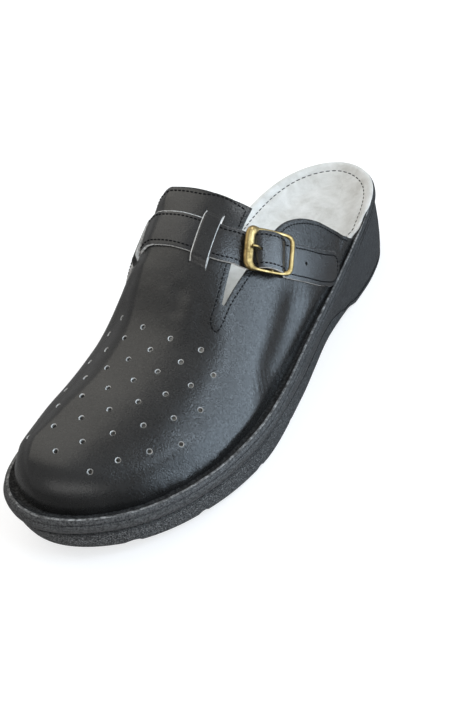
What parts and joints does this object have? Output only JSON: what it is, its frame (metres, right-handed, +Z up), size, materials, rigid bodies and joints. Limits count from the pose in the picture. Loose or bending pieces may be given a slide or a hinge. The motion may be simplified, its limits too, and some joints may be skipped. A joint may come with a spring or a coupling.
{
  "type": "orthopaedic clog",
  "caption": "Open-backed leather clog with a closed perforated toe, buckled instep strap run through loops in the vamp, contoured suede footbed and a moulded wedge sole.",
  "frame": {"origin": "centre of the bounding box, on the floor under the tread", "axes": "+Z up, toe towards -Y, heel towards +Y, lateral (buckle) side towards +X"},
  "size_m": [0.1056, 0.2838, 0.1023],
  "materials": {
    "sole": "moulded foam, satin side band, rough tread",
    "insole": "pale napped suede",
    "upper": "smooth black leather, soft sheen",
    "strap": "smooth black leather, raw pale edges",
    "buckle": "worn antique brass"
  },
  "bodies": {
    "root": {"sole": "sole", "insole": "insole", "upper": "upper", "strap": "strap", "buckle": "buckle", "buckle_prong": "buckle"}
  },
  "joints": []
}
